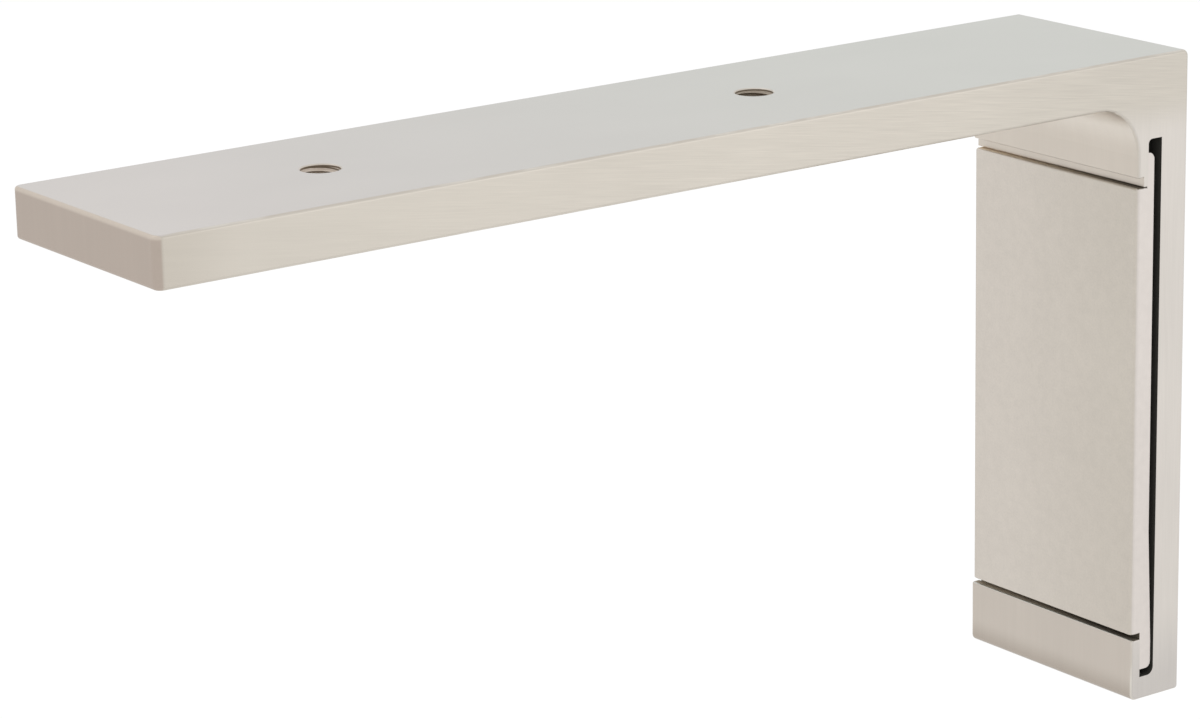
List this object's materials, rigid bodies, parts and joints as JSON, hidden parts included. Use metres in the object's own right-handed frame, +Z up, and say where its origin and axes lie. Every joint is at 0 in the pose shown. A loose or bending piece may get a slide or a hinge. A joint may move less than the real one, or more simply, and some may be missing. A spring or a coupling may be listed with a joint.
{
  "type": "shelf bracket",
  "caption": "L-shaped metal shelf bracket with tapped holes in its flat arm and a plate that slides sideways into its leg to cover the wall screws.",
  "frame": {"origin": "on the wall plane, midway between the two wall-screw holes and midway across the width", "axes": "+Y into the wall, so the arm points along -Y; +Z up, towards the shelf; +X across the width, to the right for someone facing the wall"},
  "size_m": [0.04, 0.19, 0.108],
  "materials": {
    "bracket": "satin nickel plate over lengthwise brushing, warm grey",
    "cover_plate": "satin nickel plate, fine blasted grain on the front, brushed sides"
  },
  "bodies": {
    "bracket": {"bracket": "bracket"},
    "cover": {"cover_plate": "cover_plate"}
  },
  "joints": [
    {"name": "cover_slide", "type": "slide", "parent": "bracket", "child": "cover", "axis": [1, 0, 0], "range_m": [-0.042, 0.042]}
  ]
}
